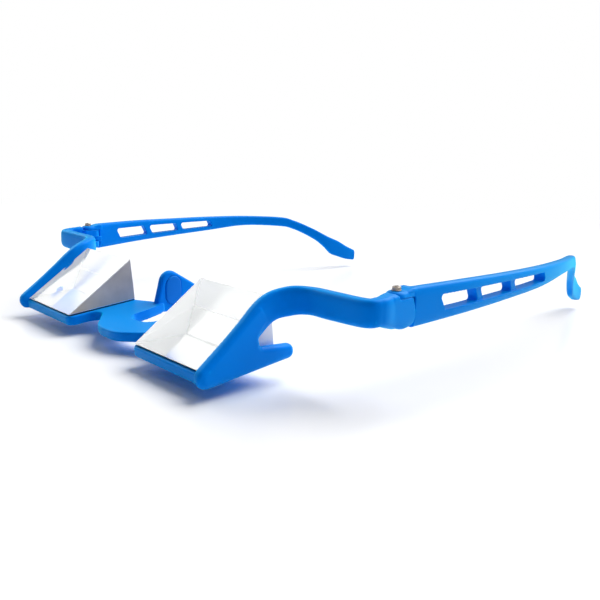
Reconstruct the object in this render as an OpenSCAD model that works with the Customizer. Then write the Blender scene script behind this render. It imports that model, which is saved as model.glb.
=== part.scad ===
// Belay glasses: a blue moulded frame that carries two wedge prisms in front of the eyes,
// so that the wearer looks straight ahead and sees what is above.
// +Y runs from the prisms to the ear tips, +X to the wearer's left, +Z up.
// The origin is the middle of the glasses, on the surface that they stand on.

/* [Prisms] */
// Gap between the two prisms, where the nose goes
prism_gap = 35.2; // [32:0.2:40]
// Width of one prism, side to side
prism_w = 27; // [24:0.5:30]
// Height of the prism's upright rear face
prism_h = 12; // [11:0.25:13]
// Angle at the prism's thin front edge
prism_angle = 30; // [29:0.25:31]
// Small bevel along the prism's three long edges
prism_bevel = 0.15; // [0.1:0.05:0.4]
// Thickness of the silvered coat under the prism
coat_t = 0.1; // [0.1:0.05:0.2]
// Thickness of the black bonding layer under the coat
bed_t = 0.35; // [0.25:0.05:0.6]

/* [Frame] */
// Rise of the frame's underside from front to rear, in degrees
seat_tilt = 5.95; // [4:0.05:7]
// Thickness of the shelf below the prism
shelf_t = 2.9; // [2.6:0.05:3.2]
// How far the shelf stands out in front of the prism's front edge
shelf_lip = 0.6; // [0.3:0.1:1.2]
// How far the shelf stands out beyond the prism's inner side
shelf_in = 0.8; // [0.4:0.1:1.2]
// Thickness of the side plate beside the prism
side_t = 2.9; // [2.4:0.1:3.4]
// Radius of the side plate's front corner
nose_r = 2.5; // [2.2:0.1:2.8]
// Depth of the flat strip that the frame stands on, front to rear
foot_w = 2.4; // [1.6:0.2:3.2]
// How far the fin reaches behind the prism's rear face
fin_reach = 3.5; // [3:0.1:5]
// Radius of the fin's rear tip
fin_r = 1.45; // [1.2:0.05:1.6]
// Height of the arm from the prism to the hinge
arm_h = 6.3; // [5.8:0.1:6.8]
// Thickness of the arm
arm_t = 3.7; // [3.2:0.1:4.2]
// Height of the arm's middle above the standing surface
arm_z = 16.95; // [16.7:0.05:17.2]
// Distance from the arm's outward run back to the hinge screws
arm_ahead = 8.4; // [8.2:0.1:8.8]

/* [Bridge and nose wings] */
// Distance from the prisms' front edges back to the bridge's front edge
bridge_front = 1.4; // [0.6:0.1:3]
// Radius of the bridge's curved front edge
bridge_r = 9; // [6:0.5:10]
// Half the width of the nose notch at its mouth
notch_half = 5.8; // [5.2:0.1:6.6]
// Plate left in front of the nose notch
bridge_neck = 9.4; // [8:0.2:11]
// Thickness of a nose wing
wing_t = 2.2; // [1.8:0.1:2.6]
// Half the distance between the faces of the two nose wings
wing_half = 7.7; // [7.4:0.1:8.6]
// Height of a nose wing above the bridge plate
wing_h = 8.6; // [8:0.1:9.4]
// Length of a nose wing, front to rear
wing_l = 16.5; // [15:0.5:17.5]
// Outward turn of a nose wing towards its rear, in degrees
wing_flare = 4; // [0:1:8]
// Length of the oval soft pad on a nose wing
pad_l = 8.4; // [7:0.2:9]
// Width of the oval soft pad
pad_w = 5.6; // [5:0.2:6.4]
// Thickness of the soft pad
pad_t = 1.1; // [0.9:0.1:1.4]
// How far the soft pad stands out of its recess
pad_proud = 0.4; // [0.3:0.1:0.6]

/* [Hinges] */
// Distance between the two hinge screws
hinge_span = 140; // [136:0.4:144]
// Distance from the prism's front edge back to the hinge screws
hinge_back = 32.3; // [31.5:0.1:33.5]
// Height of the hinge lug's flat top above the standing surface
lug_top = 19.8; // [19.4:0.1:20.2]
// Height of the hinge lug's underside above the standing surface
lug_bottom = 13.1; // [12.8:0.1:13.4]
// Distance from the hinge axis to the lug's outer face
lug_out = 2.5; // [2.4:0.1:2.9]
// Distance from the hinge axis to the lug's rear face
lug_back = 3.7; // [3.4:0.1:3.9]
// Radius of the hinge screw's shank
screw_r = 0.7; // [0.6:0.05:0.8]
// Radius of the hinge screw's head
head_r = 1.05; // [0.95:0.05:1.3]
// Height of the hinge screw's head
head_h = 0.7; // [0.6:0.05:0.9]
// Thickness of the washer under the screw's head
washer_t = 0.2; // [0.15:0.05:0.3]
// Thickness of the temple's upper hinge ear
ear_t = 1.35; // [1.2:0.05:1.5]
// Radius of the temple's upper hinge ear
ear_r = 2.4; // [2.1:0.05:2.45]
// Thickness of the temple's lower hinge tongue
tongue_t = 1.5; // [1.3:0.1:1.7]
// Radius of the temple's lower hinge tongue
tongue_r = 1.75; // [1.6:0.05:1.8]
// Radius of the threaded insert in the lug
insert_r = 1.25; // [1.15:0.05:1.4]
// Length of the threaded insert
insert_l = 1.7; // [1.5:0.1:1.8]

/* [Temples] */
// Thickness of a temple
temple_t = 3.2; // [2.8:0.1:3.6]
// Length of the stem, from the hinge axis to the ear bend
stem_l = 91.5; // [86:0.5:97]
// Length of the ear hook behind the bend
hook_l = 38.4; // [36:0.1:42]
// How far the stem bows outwards halfway along
bow = 3.2; // [2:0.1:4]
// How far the ear bend has turned in from the stem's root
bend_in = 3.8; // [2.5:0.1:4.5]
// How far the ear tip has turned in from the stem's root
tip_in = 15.5; // [13.5:0.1:16.5]
// Height of the temple where it meets the hinge
root_h = 9; // [8.6:0.1:9.4]
// Height of the temple at the ear bend
bend_h = 4; // [3.6:0.1:4.4]
// Height of the temple's top edge above the standing surface, at the hinge
temple_top = 21.8; // [21.6:0.05:22]
// Thickness of the ear hook
hook_t = 2.4; // [2:0.1:3]
// Greatest height of the hook's foot, at its heel
foot_h = 7.5; // [6.5:0.1:8.5]
// Height of the foot's blunt toe
toe_h = 5; // [4:0.1:6]
// Distance from the hinge axis to the first slot
slot_start = 12.5; // [11.5:0.1:13.5]
// Share of the temple's height that each rail above and below the slots takes
rail_share = 0.285; // [0.26:0.005:0.3]
// Number of slots through the stem
slot_count = 3; // [1:1:4]
// Distance from one slot to the next
slot_pitch = 14.8; // [14:0.1:16]
// How much longer the last slot is than the others
slot_tail = 2.4; // [0:0.1:3]
// Width of the strut between two slots
strut_w = 2.4; // [2:0.1:3.4]
// Slant of the struts, in degrees
strut_slant = 28; // [10:1:30]
// Depth by which the struts lie below the temple's outer face
strut_sink = 0.7; // [0.4:0.1:0.9]

/* [Fits] */
// Radial clearance of the temple's hinge bores on the screw
bore_play = 0.05; // [0.03:0.01:0.08]
// Gap between the faces that slide past each other in the hinge
slide_gap = 0.08; // [0.05:0.01:0.12]
// Gap round the tongue inside the lug's slot
slot_play = 0.15; // [0.1:0.01:0.2]
// Gap between the lug's rear face and the open temple
butt_gap = 0.2; // [0.15:0.01:0.3]
// Depth of the threaded insert below the lug's underside
insert_sink = 0.3; // [0.2:0.05:0.4]
// Wall between the threaded insert and the tongue's slot
insert_roof = 0.6; // [0.5:0.05:0.8]
// Gap round the threaded insert in its hole
insert_gap = 0.02; // [0.01:0.01:0.03]
// Gap round a soft pad in its recess
pad_gap = 0.05; // [0.03:0.01:0.1]
// Gap between a prism and the side plate
glass_gap = 0.05; // [0.03:0.01:0.1]

/* [Hidden] */

frame_blue = "#0a78e0";
pad_blue = "#1b86ea";
glass_white = "#e6eaec";
mirror_silver = "#c9cdd0";
bed_black = "#15171c";
steel = "#a9adb1";
brass = "#c8a550";
fine = 48;

// Prism seat, measured along the tilted shelf from the prism's front edge
prism_in = prism_gap / 2;
prism_out = prism_in + prism_w;
prism_base = prism_h / tan(prism_angle);
seat_drop = coat_t + bed_t;
under = seat_drop + shelf_t;
foot_cut = foot_w * tan(seat_tilt);
edge_z = under * cos(seat_tilt) - foot_cut;
side_x = prism_out + glass_gap + side_t / 2;

// Hinge, from the axis
hinge_x = hinge_span / 2;
butt = lug_back + butt_gap;
ear_z = lug_top + slide_gap;
washer_z = ear_z + ear_t + slide_gap;
head_z = washer_z + washer_t;
insert_z = lug_bottom + insert_sink;
slot_z = insert_z + insert_l + insert_roof;
tongue_z = slot_z + slide_gap;

// Side plate's corner circle: it touches the underside and the line that the arm runs up,
// which is a little steeper than the prism's face
arm_steeper = 4.8;
plate_rise = prism_angle + seat_tilt + arm_steeper;
nose_c = [0.1, -under + nose_r];
function seat_point(v) = [v[0] * cos(seat_tilt) - v[1] * sin(seat_tilt),
    edge_z + v[0] * sin(seat_tilt) + v[1] * cos(seat_tilt)];

// The whole length, for the origin in the middle
front_y = seat_point(nose_c)[0] - nose_r;
tip_y = hinge_back + stem_l + hook_l;
mid_y = (front_y + tip_y) / 2;

function unit(v) = v / norm(v);
function xy(v) = [v[0], v[1]];

// An outline with rounded corners, from a list of [x, y, radius]
function corner(a, b, c, r, n) = let(
        u = unit(a - b), v = unit(c - b), half = acos(u * v) / 2,
        o = b + unit(u + v) * r / sin(half),
        s = b + u * r / tan(half) - o, e = b + v * r / tan(half) - o,
        from = atan2(s[1], s[0]), turn = (atan2(e[1], e[0]) - from + 540) % 360 - 180)
    r == 0 ? [b] : [for (i = [0:n]) o + r * [cos(from + turn * i / n), sin(from + turn * i / n)]];
function rounded(c, n = 5) = let(m = len(c)) [for (i = [0:m - 1])
    each corner(xy(c[(i + m - 1) % m]), xy(c[i]), xy(c[(i + 1) % m]), c[i][2], n)];

// The same outline drawn in by a distance
function inset(p, d) = let(m = len(p)) [for (i = [0:m - 1]) let(
        u = unit(p[i] - p[(i + m - 1) % m]), v = unit(p[(i + 1) % m] - p[i]),
        n = unit([-u[1] - v[1], u[0] + v[0]]))
    p[i] + n * d / max(0.5, n * [-u[1], u[0]])];

// A plate with soft edges: an outline, its thickness, the edge radius and steps round the edge
module soft_plate(p, t, r, n = 2) {
    m = len(p);
    levels = concat([for (k = [0:n]) [r * (1 - sin(90 * k / n)), r * (1 - cos(90 * k / n))]],
        [for (k = [n:-1:0]) [r * (1 - sin(90 * k / n)), t - r * (1 - cos(90 * k / n))]]);
    last = len(levels) - 1;
    points = [for (l = levels) each [for (q = inset(p, l[0])) [q[0], q[1], l[1]]]];
    faces = concat([[for (i = [0:m - 1]) i]], [[for (i = [m - 1:-1:0]) last * m + i]],
        [for (k = [0:last - 1]) for (i = [0:m - 1]) let(j = (i + 1) % m)
            each [[k * m + i, (k + 1) * m + i, (k + 1) * m + j], [k * m + i, (k + 1) * m + j, k * m + j]]]);
    polyhedron(points, faces);
}

// A smooth list of stations through the given ones, k steps between each pair
function blend(a, b, c, d, t) = 0.5 * (2 * b + (c - a) * t + (2 * a - 5 * b + 4 * c - d) * t * t
    + (3 * b - a - 3 * c + d) * t * t * t);
function smooth(s, k) = let(m = len(s)) concat([for (i = [0:m - 2]) for (j = [0:k - 1])
    blend(s[max(i - 1, 0)], s[i], s[i + 1], s[min(i + 2, m - 1)], j / k)], [s[m - 1]]);

// Section with flat sides and soft corners: a power of 1 gives an ellipse, towards 0 a rectangle
section_power = 0.56;
function bulge(v) = sign(v) * pow(abs(v), section_power) / 2;
function section(w, h, n) = [for (i = [0:n - 1]) let(a = 360 * (i + 0.5) / n)
    [w * bulge(cos(a)), h * bulge(sin(a))]];

// A bar along stations [x, y, z, thickness, height]; upright keeps its sections vertical.
// Each end is closed by a rounded cap of the given length.
module bar(s, caps = [0, 0], upright = false, n = 16) {
    m = len(s);
    place = function(i) [s[i][0], s[i][1], s[i][2]];
    heading = function(i) unit(place(min(i + 1, m - 1)) - place(max(i - 1, 0)));
    cap_turns = [80, 55, 28];
    rings = concat(
        caps[0] > 0 ? [for (a = cap_turns) [0, -caps[0] * sin(a), cos(a)]] : [],
        [for (i = [0:m - 1]) [i, 0, 1]],
        caps[1] > 0 ? [for (k = [2:-1:0]) [m - 1, caps[1] * sin(cap_turns[k]), cos(cap_turns[k])]] : []);
    points = [for (r = rings) let(i = r[0], go = heading(i),
            side = unit(cross(go, [0, 0, 1])), up = upright ? [0, 0, 1] : cross(side, go),
            ahead = upright ? unit(cross([0, 0, 1], side)) : go)
        each [for (q = section(s[i][3] * r[2], s[i][4] * r[2], n))
            place(i) + ahead * r[1] + side * q[0] + up * q[1]]];
    last = len(rings) - 1;
    faces = concat([[for (i = [n - 1:-1:0]) i]], [[for (i = [0:n - 1]) last * n + i]],
        [for (k = [0:last - 1]) for (i = [0:n - 1]) let(j = (i + 1) % n)
            each [[k * n + i, k * n + j, (k + 1) * n + j], [k * n + i, (k + 1) * n + j, (k + 1) * n + i]]]);
    polyhedron(points, faces);
}

// Places
module centred() {
    translate([0, -mid_y, 0]) children();
}
module both_sides() {
    children();
    mirror([1, 0, 0]) children();
}
module left_side() {
    centred() children();
}
module right_side() {
    centred() mirror([1, 0, 0]) children();
}
module seat() {
    translate([0, 0, edge_z]) rotate([seat_tilt, 0, 0]) children();
}
// Draws a 2D shape of the seat's length and height as a wall, from x0 to x1
module wall(x0, x1) {
    translate([x0, 0, 0]) rotate([90, 0, 90]) linear_extrude(height = x1 - x0) children();
}
module at_hinge() {
    translate([hinge_x, hinge_back, 0]) children();
}

// Front frame
// A point on the arm's way up the slope: a distance along the line, and how far below it
function up_slope(along, down) = let(a = plate_rise, c = seat_point(nose_c))
    c + along * [cos(a), sin(a)] + (nose_r - down) * [-sin(a), cos(a)];
slope_low = up_slope(10.5, 3.625);
slope_high = up_slope(20.4, 3.85);
arm_y = hinge_back - arm_ahead;
arm_x = hinge_x + lug_out - arm_t / 2;
arm_end_h = ear_z + ear_t - lug_bottom - 1;
arm_end_z = ear_z + ear_t - arm_end_h / 2;
// From the front corner up the slope, round the elbow above the prism, outwards, round the
// outer elbow and into the lug, level with the temple's ear
arm_stations = [
    concat([side_x], seat_point(nose_c), [side_t, 2 * nose_r]),
    concat([side_x], slope_low, [side_t, arm_h - 0.15]),
    concat([side_x + 0.1], slope_high, [side_t, arm_h + 0.1]),
    [side_x + 2.2, arm_y - 2.4, arm_z - 0.6, side_t + 0.3, arm_h + 0.4],
    [side_x + 6.4, arm_y + 0.3, arm_z - 0.1, arm_t - 0.1, arm_h],
    [side_x + 13, arm_y + 0.4, arm_z, arm_t, arm_h],
    [arm_x - 1.8, arm_y, arm_z + 0.35, arm_t + 0.1, arm_h - 0.2],
    [arm_x + 0.4, arm_y + 1.9, arm_z + 0.65, arm_t + 0.2, arm_h - 0.2],
    [hinge_x, hinge_back - 1.2, arm_end_z, 2 * lug_out - 0.6, arm_end_h]];
module arm() {
    bar(smooth(arm_stations, 4), [nose_r, 0.2]);
}

// The fin runs back from the front corner, round its tip and up into the crook under the arm
fin_t = side_t - 0.3;
fin_outline = [[-1, 0.1 - under, 0.4], [prism_base + fin_reach, -under, fin_r],
    [prism_base + fin_reach, -under + 2 * fin_r + 0.1, fin_r], [14.4, 1.35, 1.3], [13.6, 4.3, 2.2],
    [8, 3.6, 0], [-1, -1, 0]];
module fin() {
    seat() translate([side_x - fin_t / 2, 0, 0]) rotate([90, 0, 90])
        linear_extrude(height = fin_t) polygon(rounded(fin_outline));
}

// One plate in the seat's plane: both shelves and the bridge between them, with the nose notch,
// whose sides run out to the faces of the nose wings
shelf_edge = prism_in - shelf_in;
shelf_rear = prism_base + 0.4;
bridge_rear = shelf_rear + 1.2;
bridge_end = bridge_rear + 2;
bridge_side = bridge_front + 8.9;
notch_front = bridge_front + bridge_neck;
deck_half = [[4.4, bridge_front, bridge_r], [shelf_edge, bridge_side, 0.8],
    [shelf_edge, -shelf_lip, 0.8], [side_x, -shelf_lip, 0], [side_x, shelf_rear, 0],
    [shelf_edge + 1.5, shelf_rear, 0], [wing_half + wing_t, bridge_end, 0.6],
    [wing_half - 0.2, bridge_end, 0.4], [notch_half, bridge_rear - 4, 4],
    [notch_half - 1.2, notch_front, 4]];
deck_outline = concat(deck_half,
    [for (i = [len(deck_half) - 1:-1:0]) let(v = deck_half[i]) [-v[0], v[1], v[2]]]);
module deck() {
    seat() translate([0, 0, -under])
        linear_extrude(height = shelf_t) polygon(rounded(deck_outline));
}

// A nose wing's own place: its nose side faces -X, its front foot is on the bridge's rear edge
wing_y = bridge_rear + 0.3;
wing_base = seat_point([bridge_rear, -seat_drop])[1];
wing_soft = 0.9;
pad_soft = 0.35;
module at_wing() {
    translate([wing_half, wing_y, wing_base]) rotate([0, 0, -wing_flare])
        rotate([90, 0, 90]) children();
}
wing_outline = [[-1.4, 0.4 - shelf_t, wing_soft + 0.1], [7, -shelf_t - 0.1, 4], [wing_l - 1, -0.8, 2.5],
    [wing_l + 0.6, 2.4, 2.5], [2.4, wing_h + 2.6, 3.4]];
pad_c = [5.3, 3.6];
pad_outline = [for (v = [[-1, -1], [1, -1], [1, 1], [-1, 1]])
    [pad_c[0] + v[0] * pad_w / 2, pad_c[1] + v[1] * pad_l / 2, pad_w / 2 - 0.01]];
pad_sink = pad_t - pad_proud;
module wing() {
    at_wing() difference() {
        soft_plate(rounded(wing_outline), wing_t, wing_soft);
        translate([0, 0, -1]) linear_extrude(height = 1 + pad_sink)
            polygon(inset(rounded(pad_outline), -pad_gap));
    }
}
module nose_pad() {
    color(pad_blue) at_wing() translate([0, 0, -pad_proud])
        soft_plate(rounded(pad_outline), pad_t, pad_soft);
}
module nose_pad_left() { left_side() nose_pad(); }
module nose_pad_right() { right_side() nose_pad(); }

lug_front = -3;
lug_outline = [[-lug_out, lug_front, 1.4], [lug_out, lug_front, 1.4], [lug_out, lug_back, 0.4],
    [-lug_out, lug_back, lug_back - 1.5]];
tongue_slot_r = tongue_r + slot_play;
// The arm's rim round the ear ends this far ahead of the hinge axis
ear_rim = 1.5;
module lug() {
    at_hinge() difference() {
        translate([0, 0, lug_bottom]) linear_extrude(height = lug_top - lug_bottom)
            polygon(rounded(lug_outline));
        lug_cuts();
    }
}
// Bores for the screw and its insert, the tongue's slot and the seat of the ear, with the room
// that both leaves of the hinge need when the temple folds. The cuts run out of the lug by `past`.
past = 12;
module lug_cuts() {
    slot_h = tongue_t + 2 * slide_gap;
    ear_seat_r = ear_r + slot_play;
    translate([0, 0, lug_bottom - past]) {
        cylinder(r = screw_r + 2 * bore_play, h = 2 * past, $fn = fine);
        cylinder(r = insert_r + insert_gap, h = past + insert_sink + insert_l, $fn = fine);
    }
    translate([0, 0, slot_z]) {
        cylinder(r = tongue_slot_r, h = slot_h, $fn = fine);
        translate([-past, -tongue_slot_r, 0]) cube([past, 2 * past, slot_h]);
        translate([-past, 0, 0]) cube([past + tongue_slot_r, 2 * past, slot_h]);
    }
    translate([0, 0, lug_top]) {
        cylinder(r = ear_seat_r, h = past, $fn = fine);
        translate([-past, -ear_seat_r, 0]) cube([past, 2 * past, past]);
        translate([0, -ear_rim, 0]) cube([past, 2 * past, past]);
    }
}

module front_frame() {
    color(frame_blue) centred() difference() {
        union() {
            deck();
            both_sides() {
                difference() {
                    arm();
                    at_hinge() lug_cuts();
                }
                lug();
                fin();
                wing();
            }
        }
        translate([-hinge_span, -hinge_span, -past]) cube([2 * hinge_span, 2 * hinge_span, past]);
    }
}

// Prism and what bonds it to the shelf
prism_outline = [[prism_bevel / tan(prism_angle / 2), 0], [prism_base - prism_bevel, 0],
    [prism_base, prism_bevel], [prism_base, prism_h - 2 * prism_bevel],
    [prism_base - prism_bevel, prism_h - prism_bevel - prism_bevel * tan(prism_angle)],
    prism_bevel / tan(prism_angle / 2) * [cos(prism_angle), sin(prism_angle)]];
module prism() {
    color(glass_white) seat() wall(prism_in, prism_out) polygon(prism_outline);
}
module prism_left() { left_side() prism(); }
module prism_right() { right_side() prism(); }

// A thin layer under the prism, between two depths below its lower face
module layer(top, bottom) {
    seat() wall(prism_in, prism_out) polygon([[prism_outline[0][0], -bottom],
        [prism_outline[1][0], -bottom], [prism_outline[1][0], -top], [prism_outline[0][0], -top]]);
}
module mirror_coat() { color(mirror_silver) layer(0, coat_t); }
module mirror_coat_left() { left_side() mirror_coat(); }
module mirror_coat_right() { right_side() mirror_coat(); }
module bonding_bed() { color(bed_black) layer(coat_t, seat_drop); }
module bonding_bed_left() { left_side() bonding_bed(); }
module bonding_bed_right() { right_side() bonding_bed(); }

// Temple, as stations [x, y, z, thickness, height] behind the hinge
root_x = hinge_x + lug_out - temple_t / 2;
hook_y = hinge_back + stem_l;
toe_cap = 0.9;
function stem(f, out, top, h, t = temple_t) = [root_x + out,
    hinge_back + butt + f * (stem_l - butt), top - h / 2, t, h];
function hook(f, share, top, h) = [root_x - bend_in - share * (tip_in - bend_in),
    hook_y + f * (hook_l - toe_cap), top - h / 2, hook_t, h];
temple_stations = [
    stem(0, 0, temple_top, root_h),
    stem(0.2, 0.7 * bow, temple_top + 0.28, 0.8 * root_h + 0.2 * bend_h),
    stem(0.4, bow, temple_top + 0.27, 0.57 * root_h + 0.43 * bend_h),
    stem(0.6, bow, temple_top + 0.27, 0.34 * root_h + 0.66 * bend_h),
    stem(0.8, 0.35 * bow, temple_top + 0.11, bend_h + 0.1, 0.7 * temple_t + 0.3 * hook_t),
    stem(1, -bend_in, temple_top - 0.7, bend_h + 0.1, 0.2 * temple_t + 0.8 * hook_t),
    hook(0.16, 0.17, temple_top - 2.13, bend_h + 0.05),
    hook(0.31, 0.35, temple_top - 4.32, bend_h + 0.3),
    hook(0.45, 0.54, temple_top - 6.8, bend_h + 0.8),
    hook(0.56, 0.68, foot_h + 5.3, 0.6 * foot_h + 0.4 * bend_h - 0.2),
    hook(0.65, 0.77, foot_h + 3.7, foot_h),
    hook(0.76, 0.86, foot_h + 2, foot_h - 0.1),
    hook(0.88, 0.94, 0.4 * foot_h + 0.6 * toe_h + 1, 0.4 * foot_h + 0.6 * toe_h + 0.3),
    hook(1, 1, toe_h, toe_h)];
temple_line = smooth(temple_stations, 4);

// The stem's edges and outer face at a distance behind the front
function along(y, value) = lookup(y, [for (s = temple_line) [s[1], value(s)]]);
function edge_top(y) = along(y, function(s) s[2] + s[4] / 2);
function edge_bottom(y) = along(y, function(s) s[2] - s[4] / 2);
function outer_face(y) = along(y, function(s) s[0] + temple_t / 2);

// A slanted window between the two rails, from y0 to y1
function window(y0, y1, r) = let(lean = tan(strut_slant),
        mid = function(y) (edge_top(y) + edge_bottom(y)) / 2,
        half = function(y) (edge_top(y) - edge_bottom(y)) * (0.5 - rail_share))
    [for (q = [[y0, -1], [y1, -1], [y1, 1], [y0, 1]])
        [q[0] - q[1] * half(q[0]) * lean, mid(q[0]) + q[1] * half(q[0]), r]];
// The recess in front of a strut runs on into the slots on either side of it
sink_over = 1.5;
function slot_y(k) = hinge_back + slot_start + k * slot_pitch;
function slot_end(k) = slot_y(k + 1) - strut_w + (k == slot_count - 1 ? slot_tail : 0);
// A slot's corner radius: a third of its height, and at most slot_round
slot_round = 0.75;
function slot_r(y) = min(slot_round, 0.34 * (edge_top(y) - edge_bottom(y)) * (1 - 2 * rail_share));

module temple() {
    color(frame_blue) difference() {
        union() {
            bar(temple_line, [0, toe_cap], true);
            at_hinge() {
                hinge_leaf(ear_z, ear_t, ear_r);
                hinge_leaf(tongue_z, tongue_t, tongue_r);
            }
        }
        at_hinge() cylinder(r = screw_r + bore_play, h = 2 * lug_top, $fn = fine);
        for (k = [0:slot_count - 1])
            wall(hinge_x - past, hinge_x + past)
                polygon(rounded(window(slot_y(k), slot_end(k), slot_r(slot_end(k)))));
        for (k = [1:1:slot_count - 1])
            wall(outer_face(slot_y(k)) - strut_sink, hinge_x + past)
                polygon(rounded(window(slot_y(k) - strut_w - sink_over, slot_y(k) + sink_over,
                    slot_r(slot_y(k)))));
    }
}
// A flat hinge leaf: an eye round the axis, with a slightly narrower web back into the temple
web_step = 0.15;
web_sink = 0.6;
module hinge_leaf(z, t, r) {
    translate([0, 0, z]) {
        cylinder(r = r, h = t, $fn = fine);
        translate([web_step - r, 0, 0]) cube([2 * (r - web_step), butt + web_sink, t]);
    }
}
module temple_left() { left_side() temple(); }
module temple_right() { right_side() temple(); }

// Hinge hardware: the screw ends short of the insert's lower face, and its head has a small
// chamfer and a hexagon socket
screw_short = 0.2;
head_edge = 0.2;
washer_rim = 0.1;
socket_r = 0.6;
socket_deep = 0.4;
module hinge_screw() {
    color(steel) at_hinge() difference() {
        union() {
            translate([0, 0, insert_z + screw_short])
                cylinder(r = screw_r, h = head_z - insert_z, $fn = fine);
            translate([0, 0, head_z]) cylinder(r = head_r, h = head_h - head_edge, $fn = fine);
            translate([0, 0, head_z + head_h - head_edge])
                cylinder(r1 = head_r, r2 = head_r - head_edge, h = head_edge, $fn = fine);
        }
        translate([0, 0, head_z + head_h - socket_deep]) cylinder(r = socket_r, h = head_h, $fn = 6);
    }
}
module hinge_screw_left() { left_side() hinge_screw(); }
module hinge_screw_right() { right_side() hinge_screw(); }
module ring_at(z, outer, inner, h) {
    at_hinge() translate([0, 0, z]) difference() {
        cylinder(r = outer, h = h, $fn = fine);
        translate([0, 0, -h]) cylinder(r = inner, h = 3 * h, $fn = fine);
    }
}
module hinge_washer() {
    color(steel) ring_at(washer_z, head_r + washer_rim, screw_r + bore_play, washer_t);
}
module hinge_washer_left() { left_side() hinge_washer(); }
module hinge_washer_right() { right_side() hinge_washer(); }
module hinge_insert() {
    color(brass) ring_at(insert_z, insert_r, screw_r + insert_gap, insert_l);
}
module hinge_insert_left() { left_side() hinge_insert(); }
module hinge_insert_right() { right_side() hinge_insert(); }

front_frame();
prism_left();
prism_right();
mirror_coat_left();
mirror_coat_right();
bonding_bed_left();
bonding_bed_right();
nose_pad_left();
nose_pad_right();
temple_left();
temple_right();
hinge_screw_left();
hinge_screw_right();
hinge_washer_left();
hinge_washer_right();
hinge_insert_left();
hinge_insert_right();
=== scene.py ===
import math

import bmesh
import bpy
import numpy as np
from mathutils import Matrix, Vector


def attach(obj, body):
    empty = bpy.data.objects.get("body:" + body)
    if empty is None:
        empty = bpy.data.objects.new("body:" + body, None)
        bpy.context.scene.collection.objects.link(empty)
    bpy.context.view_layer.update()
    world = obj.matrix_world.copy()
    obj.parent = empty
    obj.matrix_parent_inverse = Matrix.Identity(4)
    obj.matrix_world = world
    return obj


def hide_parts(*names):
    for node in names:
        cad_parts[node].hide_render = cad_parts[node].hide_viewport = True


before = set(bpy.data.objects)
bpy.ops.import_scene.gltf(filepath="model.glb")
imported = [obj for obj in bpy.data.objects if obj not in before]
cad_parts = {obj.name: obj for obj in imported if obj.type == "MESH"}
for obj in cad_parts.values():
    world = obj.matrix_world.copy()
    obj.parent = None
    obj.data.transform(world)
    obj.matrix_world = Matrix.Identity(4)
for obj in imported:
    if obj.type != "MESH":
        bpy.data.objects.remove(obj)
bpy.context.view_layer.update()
print("frame loaded")

# All sizes are in millimetres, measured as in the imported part: +Y from the prisms to the ear tips.
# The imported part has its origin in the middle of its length, so midY is taken off at the end.
mm = 0.001

# Sizes that several pieces are built on. The seat of the prisms is a plane that rises to the rear
# from their front edges.
seat = {
    "tilt": 5.95,           # degrees
    "shelf": 2.9,           # shelf thickness
    "drop": 0.45,           # coat and bond between prism and shelf
    "foot": 2.4,            # depth of the flat strip that the part stands on
}
prism = {
    "gap": 35.2,
    "width": 27.0,
    "height": 12.0,
    "angle": 30.0,          # degrees
    "arris": 0.14,          # ground-off edge all round
    "lift": 0.01,           # clear of the coat below it
}
sidePlate = {
    "thick": 2.9,
    "clear": 0.05,          # gap between glass and plate
    "nose": 2.5,            # radius of the front corner
    "rise": 40.75,          # slope of the plate's top edge, degrees
    "edge": 1.25,           # softness of its edges
    "fin": 4.0,             # reach of the fin behind the prism
    "finTip": 1.65,         # radius of its two corners
    "finFlat": 0.05,        # straight stretch between them
    "window": ((14.9, 1.75, 1.3), (14.6, 4.3, 1.7)),    # along and up from the seat, radius
    "root": ((20, 5.5, 0.5), (20, 0.7, 1.3)),           # along and down the arm's slope, radius
}
hinge = {
    "span": 140.0,
    "back": 32.3,           # from the prisms' front edges
    "lugTop": 19.8, "lugBottom": 13.1,
    "lugOut": 2.5, "lugBack": 3.7, "lugFront": -3.0, "lugCorner": 1.4, "lugRound": 2.2,
    "lugCore": 0.7,         # width that the cheek covers
    "lugSoft": (1.35, 0.4),
    "screw": 0.7, "head": 0.98, "headHigh": 0.7, "socket": 0.58, "socketDeep": 0.4,
    "washer": 1.08, "washerThick": 0.2,
    "insert": 1.25, "insertLength": 1.7, "insertSink": 0.3, "insertRoof": 0.6, "insertGap": 0.02,
    "ear": 2.4, "earThick": 1.35, "earRim": 1.5, "earSoft": (0.05, 1.2),
    "tongue": 1.75, "tongueThick": 1.5, "tongueSoft": 0.1,
    "slide": 0.08, "play": 0.05, "slotPlay": 0.15, "butt": 0.2,
}
# How fine the meshes are drawn, and how the welded skins are evened out
drawn = {
    "loftSides": 56, "discSides": 64, "turnSides": 72,
    "squareness": 0.56,     # of a loft's section: 1 is an ellipse, 0 a rectangle
    "capTurns": (86, 76, 64, 50, 34, 17),       # rings of a rounded end, degrees from its rim
    "armSteps": 14, "cheekSteps": 8,            # rings between two stations
    "merge": 1e-5,
    "pushes": (0.5, -0.52),                     # one smoothing round: a push in and a push out
    "skew": 31, "skewAxis": (0.5, 0.62, 0.6),
}
# How far the cutters reach past what they cut
past = {
    "over": 1, "above": 6, "side": 12, "behind": 20, "through": 10, "face": 5, "bore": 30,
    "lap": 0.1, "lid": (9, 3),
}

cosTilt, sinTilt = math.cos(math.radians(seat["tilt"])), math.sin(math.radians(seat["tilt"]))
under = seat["drop"] + seat["shelf"]
edgeZ = under * cosTilt - seat["foot"] * math.tan(math.radians(seat["tilt"]))
prismIn = prism["gap"] / 2
prismOut = prismIn + prism["width"]
prismBase = prism["height"] / math.tan(math.radians(prism["angle"]))
sideX = prismOut + sidePlate["clear"] + sidePlate["thick"] / 2
hingeX = hinge["span"] / 2
hingeY = hinge["back"]
noseCentre = (0.1, -under + sidePlate["nose"])


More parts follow.
